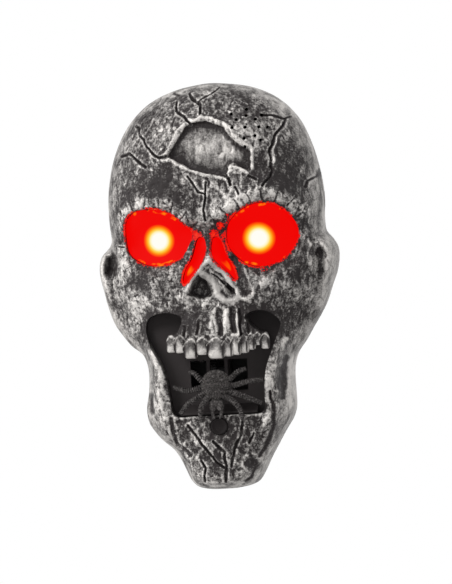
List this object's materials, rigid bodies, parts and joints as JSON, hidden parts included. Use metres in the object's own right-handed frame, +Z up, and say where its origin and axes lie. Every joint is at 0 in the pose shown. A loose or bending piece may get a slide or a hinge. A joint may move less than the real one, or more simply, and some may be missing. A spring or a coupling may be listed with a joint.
{
  "type": "skull doorbell",
  "caption": "Skull doorbell with lit red eyes, a push button below the mouth and a motor-driven spider that comes out of it.",
  "frame": {"origin": "centre of the flat back face of the back cover, which lies on the wall", "axes": "+Y into the wall, the face looks along -Y, +Z up, +X to the viewer's right"},
  "size_m": [0.1464, 0.0618, 0.248],
  "materials": {
    "silvered_plastic": "charcoal plastic dry-brushed with silver, rough and pitted",
    "black_plastic": "fine matte",
    "red_lens": "translucent red, emissive when lit from behind",
    "white_plastic": "smooth",
    "spider_rubber": "soft, with a furry body and ribbed legs",
    "zinc_steel": "zinc plated",
    "spring_steel": "nickel plated",
    "board_laminate": "green solder mask",
    "cell_jacket": "plain dark jacket",
    "speaker_paper": "pressed paper cone",
    "lead_jacket": "smooth vinyl"
  },
  "bodies": {
    "case": {"skull_face": "silvered_plastic", "eye_lens_left": "red_lens", "eye_lens_right": "red_lens", "nose_lens_left": "red_lens", "nose_lens_right": "red_lens", "light_cup_left": "white_plastic", "light_cup_right": "white_plastic", "led_left": "white_plastic", "led_right": "white_plastic", "back_cover": "black_plastic", "battery_1": "cell_jacket", "battery_2": "cell_jacket", "battery_3": "cell_jacket", "contact_negative": "spring_steel", "contact_bridge_lower": "spring_steel", "contact_bridge_upper": "spring_steel", "contact_positive": "spring_steel", "case_screw_1": "zinc_steel", "case_screw_2": "zinc_steel", "case_screw_3": "zinc_steel", "case_screw_4": "zinc_steel", "case_screw_5": "zinc_steel", "power_switch_body": "zinc_steel", "circuit_board": "board_laminate", "sound_chip": "black_plastic", "capacitor": "black_plastic", "speaker_basket": "zinc_steel", "speaker_cone": "speaker_paper", "button_switch": "black_plastic", "button_board": "board_laminate", "mechanism_housing": "black_plastic", "mechanism_cover": "black_plastic", "mechanism_screw_1": "zinc_steel", "mechanism_screw_2": "zinc_steel", "mechanism_screw_3": "zinc_steel", "mechanism_screw_4": "zinc_steel", "motor": "zinc_steel", "motor_clamp": "spring_steel", "gear_axle": "zinc_steel", "battery_lead": "lead_jacket", "speaker_lead": "lead_jacket", "led_lead_left": "lead_jacket", "led_lead_right": "lead_jacket", "motor_lead": "lead_jacket", "button_lead": "lead_jacket"},
    "button": {"button_cap": "black_plastic"},
    "spider_carrier": {"spider_arm": "white_plastic", "spider": "spider_rubber"},
    "drive_gear": {"drive_gear": "white_plastic"},
    "motor_pinion": {"motor_pinion": "white_plastic"},
    "battery_door": {"battery_door": "black_plastic", "door_screw_1": "zinc_steel", "door_screw_2": "zinc_steel"},
    "power_switch": {"power_switch_knob": "black_plastic"}
  },
  "joints": [
    {"name": "button_press", "type": "slide", "parent": "case", "child": "button", "axis": [0, 1, 0], "range_m": [0, 0.0016], "stiffness_N_per_m": 600},
    {"name": "spider_pop", "type": "slide", "parent": "case", "child": "spider_carrier", "axis": [0, -1, 0], "range_m": [0, 0.014]},
    {"name": "drive_gear_spin", "type": "hinge", "parent": "case", "child": "drive_gear", "pos_m": [0.001, -0.022, -0.0512], "axis": [1, 0, 0], "range_deg": [-170, 2]},
    {"name": "motor_spin", "type": "hinge", "parent": "case", "child": "motor_pinion", "pos_m": [0.001, -0.022, -0.04], "axis": [1, 0, 0], "range_deg": [-2, 420]},
    {"name": "battery_door_lift", "type": "slide", "parent": "case", "child": "battery_door", "axis": [0, 1, 0], "range_m": [0, 0.02]},
    {"name": "power_switch_slide", "type": "slide", "parent": "case", "child": "power_switch", "axis": [0, 0, 1], "range_m": [0, 0.004]}
  ],
  "couplings": [
    {"joint": "drive_gear_spin", "follows": "spider_pop", "rad_per_m": -208.33},
    {"joint": "motor_spin", "follows": "spider_pop", "rad_per_m": 520.83}
  ]
}
